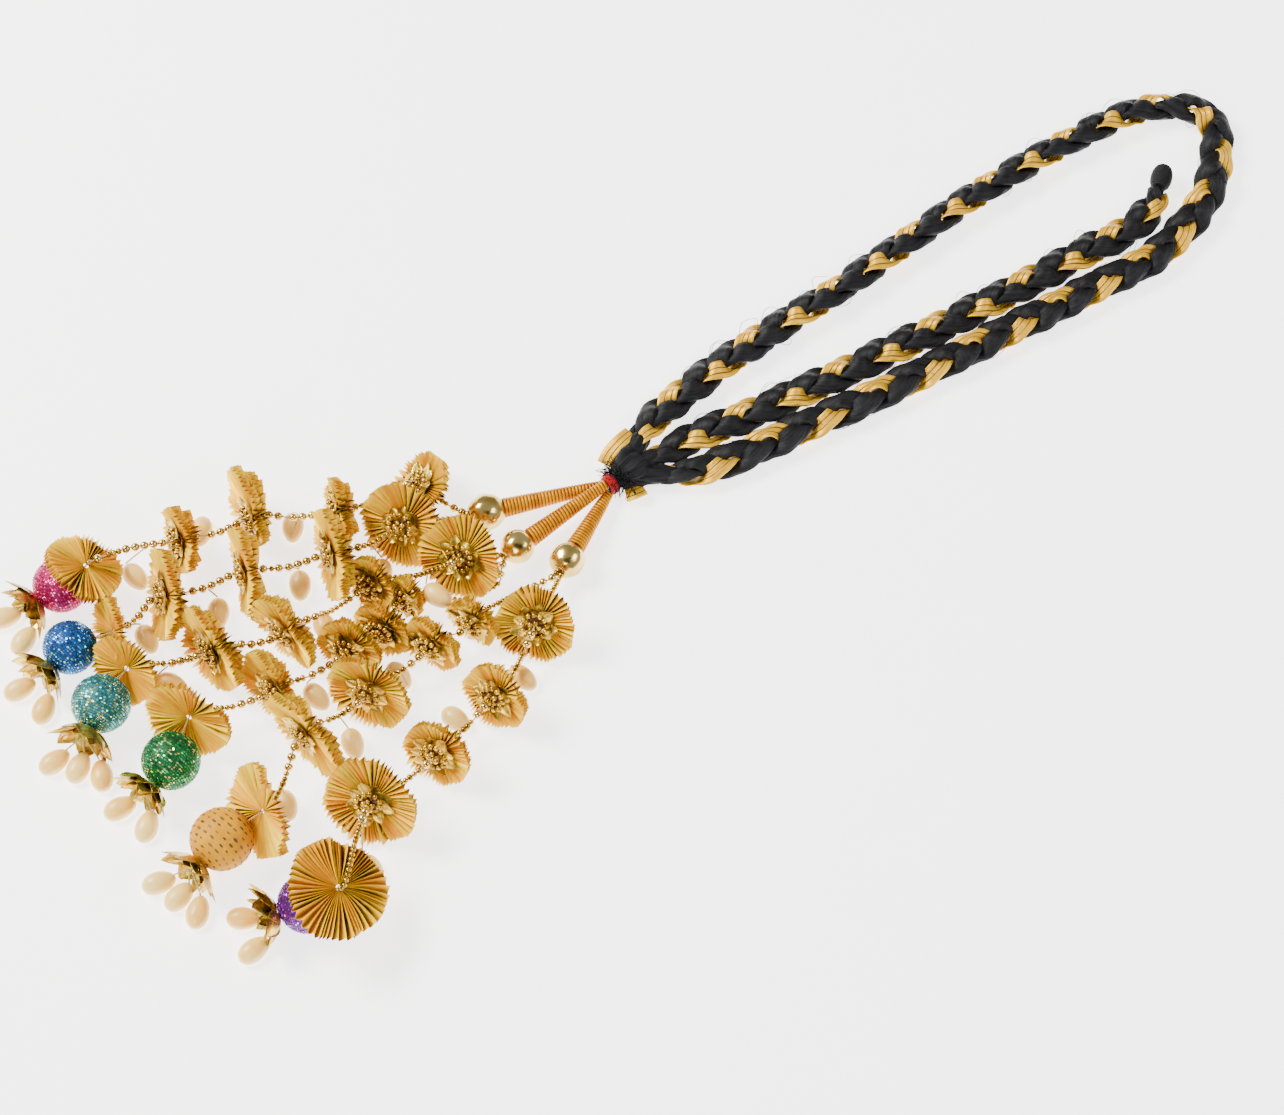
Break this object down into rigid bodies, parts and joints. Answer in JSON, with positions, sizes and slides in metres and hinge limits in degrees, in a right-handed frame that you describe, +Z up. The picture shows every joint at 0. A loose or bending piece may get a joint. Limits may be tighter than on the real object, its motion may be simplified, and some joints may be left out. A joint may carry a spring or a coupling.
{
  "type": "paranda hair tassel",
  "caption": "Paranda: a long plait of black and gold strands folded to a loop, with a bound tie, wire-wrapped cords, and strings of pleated rosettes, cowries and coloured balls.",
  "frame": {"origin": "on the surface it lies on, in the middle of the whole outline", "axes": "+Z up from the surface, +X along the piece from the tassel ends to the plait loop, +Y to the side of the pink string"},
  "size_m": [0.6443, 0.2298, 0.0424],
  "materials": {
    "black_hank": "silky black thread, combed flat",
    "gold_ribbon": "folded metallic ribbon",
    "black_winding": "matt wound thread",
    "red_thread": "satin thread",
    "gold_wire": "close-wound gilt wire",
    "gold_bead": "polished gilt",
    "string_thread": "plain thread",
    "pleated_ribbon": "metallic woven ribbon, finely pleated",
    "gold_foil": "bright pressed foil",
    "cowrie_shell": "glossy shell",
    "ball_pink": "glitter cloth over a round core",
    "ball_blue": "glitter cloth over a round core",
    "ball_teal": "glitter cloth over a round core",
    "ball_green": "glitter cloth over a round core",
    "ball_orange": "dull gold thread wound over a round core",
    "ball_purple": "glitter cloth over a round core"
  },
  "bodies": {
    "root": {"plait_loop_black_a": "black_hank", "plait_loop_black_b": "black_hank", "plait_loop_gold": "gold_ribbon", "plait_tail_black_a": "black_hank", "plait_tail_black_b": "black_hank", "plait_tail_gold": "gold_ribbon", "plait_end_knot": "black_winding", "binding_knot": "black_winding", "red_thread": "red_thread", "wrapped_cord_1": "gold_wire", "wrapped_cord_2": "gold_wire", "wrapped_cord_3": "gold_wire", "dome_bead_1": "gold_bead", "dome_bead_2": "gold_bead", "dome_bead_3": "gold_bead", "thread_pink": "string_thread", "thread_blue": "string_thread", "thread_teal": "string_thread", "thread_green": "string_thread", "thread_orange": "string_thread", "thread_purple": "string_thread", "beads_pink": "gold_bead", "beads_blue": "gold_bead", "beads_teal": "gold_bead", "beads_green": "gold_bead", "beads_orange": "gold_bead", "beads_purple": "gold_bead", "rosettes_pink": "pleated_ribbon", "rosettes_blue": "pleated_ribbon", "rosettes_teal": "pleated_ribbon", "rosettes_green": "pleated_ribbon", "rosettes_orange": "pleated_ribbon", "rosettes_purple": "pleated_ribbon", "cups_pink": "gold_foil", "cups_blue": "gold_foil", "cups_teal": "gold_foil", "cups_green": "gold_foil", "cups_orange": "gold_foil", "cups_purple": "gold_foil", "cowries_pink": "cowrie_shell", "cowries_blue": "cowrie_shell", "cowries_teal": "cowrie_shell", "cowries_green": "cowrie_shell", "cowries_orange": "cowrie_shell", "cowries_purple": "cowrie_shell", "ball_pink": "ball_pink", "ball_blue": "ball_blue", "ball_teal": "ball_teal", "ball_green": "ball_green", "ball_orange": "ball_orange", "ball_purple": "ball_purple", "star_pink": "gold_foil", "star_blue": "gold_foil", "star_teal": "gold_foil", "star_green": "gold_foil", "star_orange": "gold_foil", "star_purple": "gold_foil"}
  },
  "joints": []
}
